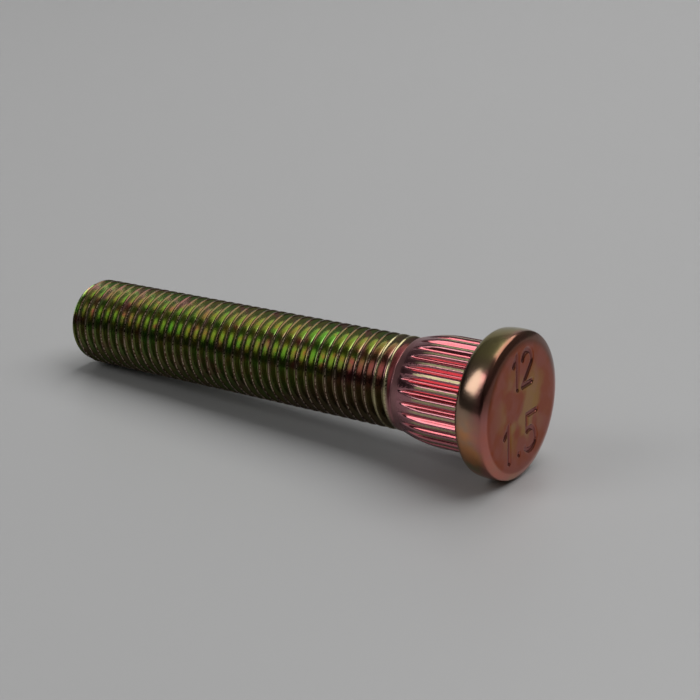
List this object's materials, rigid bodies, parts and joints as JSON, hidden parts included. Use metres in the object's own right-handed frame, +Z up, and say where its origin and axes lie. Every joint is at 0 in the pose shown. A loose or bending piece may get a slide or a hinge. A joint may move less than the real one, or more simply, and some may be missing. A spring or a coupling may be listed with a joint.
{
  "type": "wheel stud",
  "caption": "Round-headed wheel stud with a knurled press-fit shoulder and a long metric thread, in yellow zinc-chromate plated steel, lying on its side.",
  "frame": {"origin": "bottom centre of the stud's box as it lies on a flat surface, on the rim of its head and on the last thread crest", "axes": "X along the length with the head at +X and the thread's end at -X, Z up; the stud's own axis lies in the XZ plane and drops 2.86 degrees from the head to the thread's end"},
  "size_m": [0.071, 0.0184, 0.0186],
  "materials": {
    "plated_steel": "yellow iridescent zinc-chromate plating: olive and green on the thread, rose on the knurl and the head"
  },
  "bodies": {
    "root": {"stud": "plated_steel"}
  },
  "joints": []
}
